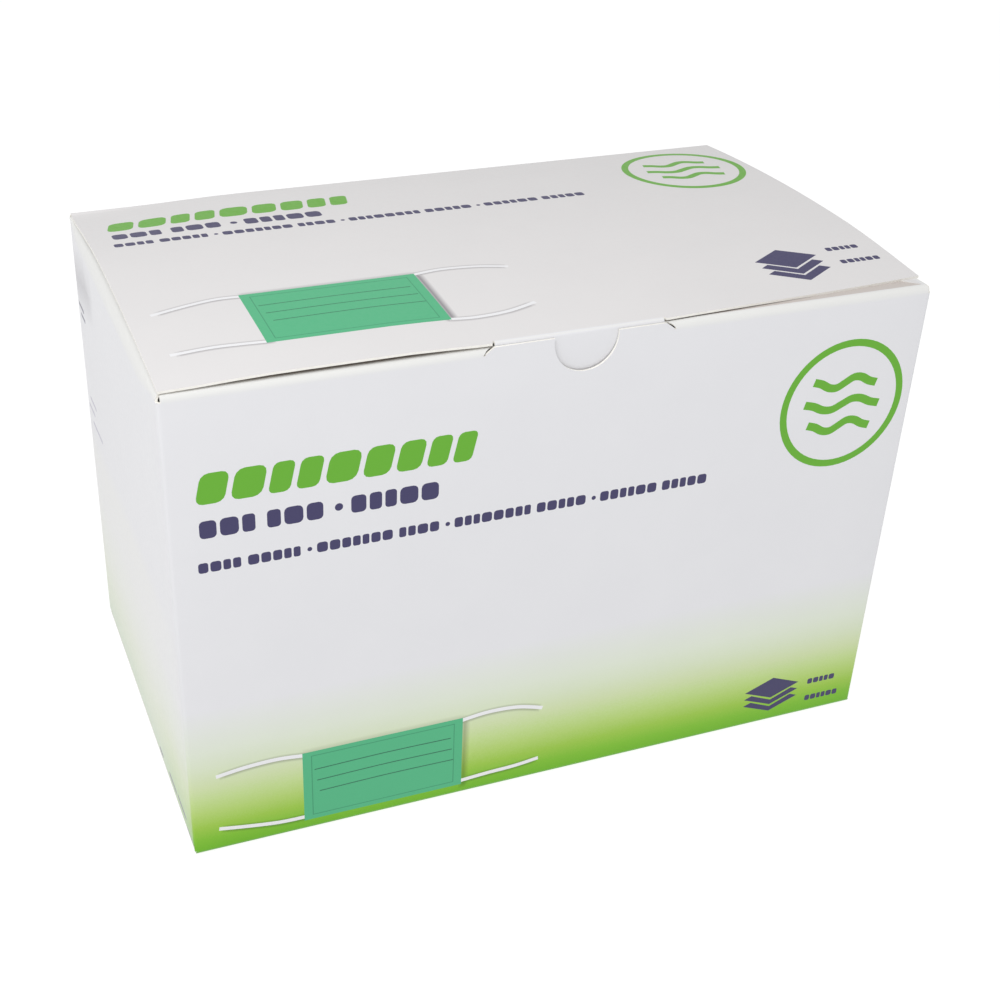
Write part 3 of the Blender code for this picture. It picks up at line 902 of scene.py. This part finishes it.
def sleeve():
    """The four walls in one piece, from the seam's crease round to the free edge of the back."""
    front_top = HEIGHT - FRONT_DROP
    corner_top = HEIGHT - DUST_CORNER_DROP
    root = HALF_WIDTH - CORNER_SLOT
    right_end = BACK_START - CORNER_ARC
    notch_centre = (front_s(NOTCH_X), LIP_TOP - NOTCH_DEPTH + NOTCH_RADIUS)
    mouth = math.degrees(math.asin((LIP_TOP - notch_centre[1]) / NOTCH_RADIUS))
    stations = side_stations(-HALF_DEPTH + CORNER_SLOT, HALF_DEPTH - CORNER_SLOT)
    left = side_top(left_s, [y for y in stations if left_s(y) > LEFT_TOP_START])
    right = side_top(right_s, stations)
    shoulder = front_top + LIP_RELIEF
    lip = [(LIP_X - LIP_FOOT_WIDTH / 2, front_top), (LIP_X - LIP_FOOT_WIDTH / 2, shoulder)]
    lip.append((LIP_X - LIP_TOP_WIDTH / 2, LIP_TOP))
    lip = [(front_s(x), z) for x, z in lip]
    lip += arc(notch_centre, NOTCH_RADIUS, -180 - mouth, mouth, 30)
    after = [(LIP_X + LIP_TOP_WIDTH / 2, LIP_TOP), (LIP_X + LIP_FOOT_WIDTH / 2, shoulder)]
    after.append((LIP_X + LIP_FOOT_WIDTH / 2, front_top))
    lip += [(front_s(x), z) for x, z in after]
    outline = [(0.0, END_LEVEL + BASE_RADIUS), (front_s(-HALF_WIDTH), END_LEVEL + BASE_RADIUS)]
    outline += [(front_s(-HALF_WIDTH), BASE_RADIUS), (front_s(HALF_WIDTH), BASE_RADIUS)]
    outline += [(front_s(HALF_WIDTH), END_LEVEL + BASE_RADIUS), (right_end, END_LEVEL + BASE_RADIUS)]
    outline += [(right_end, INNER_LEVEL + BASE_RADIUS), (SLEEVE_END, INNER_LEVEL + BASE_RADIUS)]
    outline += [(SLEEVE_END, BACK_TOP + GAP), (BACK_START, BACK_TOP + GAP), (BACK_START, corner_top)]
    outline += right[::-1]
    outline += [(right_s(-HALF_DEPTH + CORNER_SLOT), corner_top), (front_s(root), corner_top)]
    outline += [(front_s(root), front_top)] + lip[::-1] + [(front_s(-root), front_top)]
    outline += [(front_s(-root), corner_top)] + left
    outline.append((0.0, HEIGHT - side_drop(HALF_DEPTH - SEAM_STEP)))
    inks, shades = wall_prints()
    # zero-strength shade lines, only to put vertices where the painted highlight fades in
    for curve in (left, right):
        shades.append((millimetres(curve), HIGHLIGHT_FADE / MM, 0.0))

    # painted highlight along the folds and painted sheen over the end walls' green
    def sheen_at(s, z):
        if s < LEFT_LENGTH + CORNER_ARC / 2:
            pale = end_wall_sheen(LEFT_LENGTH + CORNER_ARC / 2 - s)
            past = z - HEIGHT + side_drop(HALF_DEPTH - SEAM_STEP - s)
            return max(pale if z < GREEN_TOP else 0.0, fold_highlight(past))
        if s < RIGHT_START - CORNER_ARC / 2:
            aside = abs(s - front_s(LIP_X)) - LIP_FOOT_WIDTH / 2
            return fold_highlight(z - front_top) * smooth(aside / LIP_HIGHLIGHT_RAMP)
        if s < BACK_START - CORNER_ARC / 2:
            pale = end_wall_sheen(s - RIGHT_START + CORNER_ARC / 2)
            pale *= smooth((BACK_START - CORNER_ARC / 2 - s) / CORNER_ARC)
            past = z - HEIGHT + side_drop(s - RIGHT_START + CORNER_RADIUS - HALF_DEPTH)
            return max(pale if z < GREEN_TOP else 0.0, fold_highlight(past))
        return 0.0

    columns = [front_s(LIP_X + side * (LIP_FOOT_WIDTH / 2 + LIP_HIGHLIGHT_RAMP)) for side in (-1, 1)]
    for start, length, _, _ in WALLS[:3]:
        columns += arc_cuts(start + length)
    for start, length, _, _ in WALLS:
        columns += spread(start, start + length, max(2, round(length / COLUMN_STEP)))[1:-1]
    rows = spread(*WALL_ROWS) + [front_top - HIGHLIGHT_FADE, front_top - HIGHLIGHT_FADE / 2, front_top]
    piece = board("carton_sleeve", outline, sleeve_place, columns, rows, "wall", inks, shades, sheen_at)
    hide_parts("front_panel", "back_panel", "left_panel", "right_panel")
    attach(piece, "sleeve")


def glue_seam():
    """The strip glued inside the back wall, with its crease."""
    length = SEAM_END + HALF_WIDTH - CORNER_RADIUS + CORNER_ARC
    outline = [(-length, SEAM_LOW + SEAM_END_TAPER), (-CORNER_ARC, SEAM_LOW), (0, SEAM_LOW)]
    outline += [(0, SEAM_HIGH), (-CORNER_ARC, SEAM_HIGH), (-length, SEAM_HIGH - SEAM_END_TAPER)]

    def place(s, z):
        back, inward = bent(-s, 0.0, CORNER_RADIUS, QUARTER)
        return Vector((-HALF_WIDTH + inward, HALF_DEPTH - SEAM_STEP + back, z))

    piece = board("seam_strip", outline, place, spread(-CORNER_ARC, 0.0, 6), [])
    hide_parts("glue_seam_flap")
    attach(piece, "sleeve")


def strip_ring(reach):
    """A strip along a flap's fold, where the wall's print runs on this far into the flap."""
    wide = 1.1 * HALF_WIDTH / MM
    return rectangle(-wide, wide, -1.0, reach / MM)


def base_flap(name, level, reach, half, wall, axis, inks=()):
    """A flap of the base. wall is its distance from the middle and axis its outward direction."""
    length = reach - BASE_RADIUS + BASE_RADIUS * QUARTER
    outward = Vector(axis)
    across = Vector((0, 0, 1)).cross(outward)

    def place(u, v):
        down, inward = bent(v, 0.0, BASE_RADIUS, QUARTER)
        return outward * (wall - inward) - across * u + Vector((0, 0, level + BASE_RADIUS - down))

    outline = rectangle(-half, half, 0.0, length)
    rows = spread(0.0, BASE_RADIUS * QUARTER, 6) + spread(BASE_BLEED, length, 6)[:-1]
    columns = spread(-half, half, 8)
    piece = board(f"base_{name}", outline, place, columns, rows, "coated", inks)
    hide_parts(f"{name}_base_flap")
    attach(piece, "sleeve")


def base():
    """The base's four flaps, one over another from the end flaps down to the outer one."""
    half = HALF_WIDTH - BASE_EDGE_INSET
    outer_reach = 2 * HALF_DEPTH - BASE_EDGE_INSET
    inner_reach = HALF_DEPTH - INNER_FLAP_END
    ends_half = HALF_DEPTH - CORNER_RADIUS - GAP
    bleed = [("bleed", strip_ring(BASE_BLEED))]
    base_flap("outer", OUTER_LEVEL, outer_reach, half, HALF_DEPTH, (0, -1, 0), bleed)
    base_flap("inner", INNER_LEVEL, inner_reach, HALF_WIDTH - BOARD, HALF_DEPTH, (0, 1, 0))
    for side, name in ((-1, "left"), (1, "right")):
        base_flap(name, END_LEVEL, END_FLAP_REACH, ends_half, HALF_WIDTH, (side, 0, 0))


def front_flap():
    """The front flap: its oval fold, slanted ends and the slit for the tongue."""
    root = HALF_WIDTH - CORNER_SLOT
    mitre = MITRE_GAP / 2
    shoulder = FRONT_DROP * FLAP_SHOULDER
    slit = FRONT_DROP + SLIT_DEPTH - FRONT_REACH
    lip_rise = LIP_TOP - HEIGHT + FRONT_DROP
    foot_half = LIP_FOOT_WIDTH / 2
    slit_half = LIP_TOP_WIDTH / 2 - SLIT_TUCK
    tip = FRONT_DROP + FLAP_DEPTH - FRONT_REACH
    right = [(root, 0.0), (root, shoulder), (HALF_WIDTH - FLAP_DEPTH - mitre, tip)]
    left = [(-x, v) for x, v in right[::-1]]
    lip_end = [(foot_half + FOOT_NICK, 0.0), (foot_half - SLIT_TUCK, FOOT_NICK_LENGTH)]
    lip_end += [(slit_half, lip_rise), (slit_half, slit)]
    outline = [(LIP_X + x, v) for x, v in lip_end[::-1]] + right + left
    outline += [(LIP_X - x, v) for x, v in lip_end]

    def place(x, v):
        inward, under = fold(v, FRONT_REACH, FRONT_DROP, FRONT_DROP)
        sunk = corner_dip(x, -HALF_DEPTH + inward) * smooth(v / FRONT_DROP)
        past = max(inward - FRONT_REACH, 0.0)
        sag = FLAP_SAG * (1 - math.exp(-past * FLAP_SAG_SLOPE / FLAP_SAG))
        sag *= 1 - FLAP_SAG_RIGHT * smooth((x - LIP_X - LIP_TOP_WIDTH / 2) / FLAP_SAG_RAMP)
        return Vector((x, -HALF_DEPTH + inward, HEIGHT - under - sunk - sag))

    # painted highlight over the fold, ending where the wall's print ends
    def sheen_at(x, v):
        return fold_highlight(v) * (1 - smooth((v - FRONT_DROP) / FOLD_EDGE))

    rows = spread(0.0, FRONT_DROP, 8) + [FRONT_DROP + FOLD_EDGE, *FRONT_FLAP_ROWS]
    columns = spread(-root, root, 24)
    strip = [("wall", strip_ring(FRONT_DROP + FOLD_EDGE))]
    # its darker ground is painted shade
    piece = board("front_fold_flap", outline, place, columns, rows, "flap", strip, (), sheen_at)
    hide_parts("front_flap")
    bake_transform(piece)


def dust_flap(name, side):
    """A dust flap. Its fold is taller along the middle of the side than at the corners."""
    mitre = MITRE_GAP / 2
    back = HALF_DEPTH - DUST_BACK_CLEARANCE
    root_front = -HALF_DEPTH + CORNER_SLOT
    blade_front = -HALF_DEPTH + FLAP_DEPTH + 2 * mitre
    blade_start = 2 * DUST_FOLD_REACH
    round_v = DUST_REACH - DUST_ROUND
    slanted = back - DUST_TAPER * (round_v - blade_start)
    back_round_y = slanted - DUST_ROUND * math.hypot(1.0, DUST_TAPER)
    root_back = HALF_DEPTH - DUST_ROOT_CLEARANCE
    outline = [(root_front, 0.0), (root_back, 0.0), (root_back, DUST_FOLD_REACH), (back, blade_start)]
    outline += arc((back_round_y, round_v), DUST_ROUND, math.degrees(math.atan(DUST_TAPER)), 90, 6)
    outline += arc((blade_front + DUST_ROUND, round_v), DUST_ROUND, 90, 180, 8)
    outline.append((blade_front, FLAP_DEPTH + mitre))
    outline.append((root_front + mitre * DUST_SLOT_SHARE, DUST_FOLD_REACH))
    if side < 0:
        outline = [(-y, v) for y, v in outline[::-1]]

    def place(u, v):
        y = side * u
        reach = side_reach(y)
        angle = min(v / DUST_FOLD_REACH, 1.0) * QUARTER
        inward = reach * (1 - math.cos(angle))
        if v > DUST_FOLD_REACH:
            past = min((v - DUST_FOLD_REACH) / DUST_FOLD_REACH, 1.0)
            inward = reach + (blade_start - reach) * past + max(v - blade_start, 0.0)
        sunk = corner_dip(side * (HALF_WIDTH - inward), y) * smooth(v / DUST_FOLD_REACH)
        height = HEIGHT - side_drop(y) * (1 - math.sin(angle)) - sunk
        return Vector((side * (HALF_WIDTH - inward), y, height))

    # painted highlight over the side fold
    def sheen_at(u, v):
        return fold_highlight(v) * (1 - smooth((v - DUST_FOLD_REACH) / (2 * FOLD_EDGE)))

    stations = side_stations(root_front, HALF_DEPTH - CORNER_SLOT) + spread(*DUST_STATIONS)
    columns = [side * y for y in stations]
    print_end = DUST_FOLD_REACH + 2 * FOLD_EDGE
    rows = spread(0.0, DUST_FOLD_REACH, 9) + [print_end, blade_start, *DUST_ROWS]
    strip = [("wall", strip_ring(print_end))]
    piece = board(f"{name}_side_flap", outline, place, columns, rows, "coated", strip, (), sheen_at)
    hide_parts(f"{name}_dust_flap")
    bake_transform(piece)


def lid():
    """The lid, from its raw front edges and the tongue's root to its crease at the back."""
    straight = HALF_DEPTH - LID_FOLD_RADIUS
    end = straight + LID_FOLD_RADIUS * QUARTER
    cut_left = LIP_X - LIP_TOP_WIDTH / 2 - LID_CUT_WIDTH
    cut_right = LIP_X + LIP_TOP_WIDTH / 2 + LID_CUT_WIDTH
    root_half = LIP_TOP_WIDTH / 2
    outline = [(-LID_HALF, -HALF_DEPTH + LID_EDGE_LEFT), (cut_left, -HALF_DEPTH + LID_EDGE_LEFT)]
    outline += [(LIP_X - root_half, TONGUE_ROOT), (LIP_X + root_half, TONGUE_ROOT)]
    outline += [(cut_right, -HALF_DEPTH + LID_EDGE_RIGHT_INNER)]
    outline += [(LID_HALF, -HALF_DEPTH + LID_EDGE_RIGHT_OUTER), (LID_HALF, end), (-LID_HALF, end)]

    def place(x, v):
        along, down = bent(v + HALF_DEPTH, straight + HALF_DEPTH, LID_FOLD_RADIUS, QUARTER)
        y = along - HALF_DEPTH
        fade = smooth((end - v) / (end - straight))
        top = lid_top(min(v, straight)) + lid_lift(x, y)
        return Vector((x, y, top - down - corner_dip(x, y) * fade))

    inks, shades = face_print(LID_FACE, "coated")
    rows = spread(-HALF_DEPTH, straight, 18)[1:] + spread(straight, end, 7)
    columns = spread(-LID_HALF, LID_HALF, 24)
    piece = board("lid_board", outline, place, columns, rows, "coated", inks, shades)
    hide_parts("lid_panel")
    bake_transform(piece)


def tongue():
    """The tongue: its fold at the lid and the tab that leans in behind the lip."""
    half = LIP_TOP_WIDTH / 2 - GAP
    tip_half = half - TONGUE_TAPER
    top = lid_top(TONGUE_ROOT)
    fold_length = TONGUE_FOLD_RADIUS * TONGUE_TURN
    drop = top - TONGUE_LOW - TONGUE_FOLD_RADIUS * math.sin(TONGUE_TURN)
    low = TONGUE_SHORT - fold_length - drop / math.cos(TONGUE_LEAN)
    outline = arc((LIP_X - tip_half + TONGUE_ROUND, low + TONGUE_ROUND), TONGUE_ROUND, 180, 270, 8)
    outline += arc((LIP_X + tip_half - TONGUE_ROUND, low + TONGUE_ROUND), TONGUE_ROUND, 270, 360, 8)
    outline += [(LIP_X + half, -fold_length), (LIP_X + half, 0.0)]
    outline += [(LIP_X - half, 0.0), (LIP_X - half, -fold_length)]

    def place(x, v):
        ahead, down = bent(-v, 0.0, TONGUE_FOLD_RADIUS, TONGUE_TURN)
        return Vector((x, TONGUE_ROOT - ahead, top - down))

    # painted highlight over the tongue's fold
    def sheen_at(x, v):
        away = abs(v + fold_length * TONGUE_HIGHLIGHT_MIDDLE) / (fold_length * TONGUE_HIGHLIGHT_REACH)
        return TONGUE_HIGHLIGHT * smooth(1 - away)

    rows = spread(-fold_length, 0.0, 8) + spread(low, -fold_length, 4)[1:]
    columns = spread(LIP_X - half, LIP_X + half, 6)
    piece = board("tongue_board", outline, place, columns, rows, "wall", (), (), sheen_at)
    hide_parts("tongue")
    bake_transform(piece)


# Stage, light and camera


def floor():
    """A plain white floor that glows a little, so that it stays white all round the carton."""
    bpy.ops.mesh.primitive_plane_add(size=FLOOR_SIZE, location=(0, 0, FLOOR_LEVEL))
    piece = bpy.context.object
    piece.name = "floor"
    material, _, shader = new_material("floor_white")
    shader.inputs["Base Color"].default_value = (FLOOR_GREY, FLOOR_GREY, FLOOR_GREY, 1.0)
    shader.inputs["Specular IOR Level"].default_value = 0.0
    shader.inputs["Emission Color"].default_value = (1.0, 1.0, 1.0, 1.0)
    shader.inputs["Emission Strength"].default_value = FLOOR_GLOW
    piece.data.materials.append(material)


def softbox(name, place, size, power):
    """A square soft light that faces the carton."""
    light = bpy.data.lights.new(name, "AREA")
    light.shape = "SQUARE"
    light.size = size
    light.energy = power
    lamp = bpy.data.objects.new(name, light)
    bpy.context.scene.collection.objects.link(lamp)
    lamp.location = place
    aim = Vector(KEY_AIM) - Vector(place)
    lamp.rotation_euler = aim.to_track_quat("-Z", "Y").to_euler()


def light():
    """Even light from all round, and one soft key light from the front left."""
    world = bpy.data.worlds.new("studio")
    world.use_nodes = True
    background = world.node_tree.nodes["Background"]
    background.inputs["Color"].default_value = (1.0, 1.0, 1.0, 1.0)
    background.inputs["Strength"].default_value = SKY_STRENGTH
    bpy.context.scene.world = world
    softbox("key", KEY_PLACE, KEY_SIZE, KEY_POWER)
    bpy.context.scene.view_settings.view_transform = "Standard"
    bpy.context.scene.view_settings.look = "None"


def camera():
    data = bpy.data.cameras.new("camera")
    data.sensor_width = SENSOR
    data.sensor_fit = "HORIZONTAL"
    data.lens = FOCAL_PIXELS / FRAME_PIXELS * SENSOR
    data.shift_x = (FRAME_PIXELS / 2 - CENTRE_PIXEL[0]) / FRAME_PIXELS
    data.shift_y = (CENTRE_PIXEL[1] - FRAME_PIXELS / 2) / FRAME_PIXELS
    data.clip_start = 0.01
    eye = bpy.data.objects.new("camera", data)
    bpy.context.scene.collection.objects.link(eye)
    eye.location = CAMERA_PLACE
    level = Euler((math.pi / 2 - CAMERA_ELEVATION, 0.0, -CAMERA_AZIMUTH), "XYZ").to_quaternion()
    roll = Euler((0.0, 0.0, CAMERA_ROLL), "XYZ").to_quaternion()
    eye.rotation_euler = (level @ roll).to_euler()
    bpy.context.scene.camera = eye


sleeve()
glue_seam()
base()
front_flap()
dust_flap("left", -1)
dust_flap("right", 1)
lid()
tongue()
floor()
light()
camera()
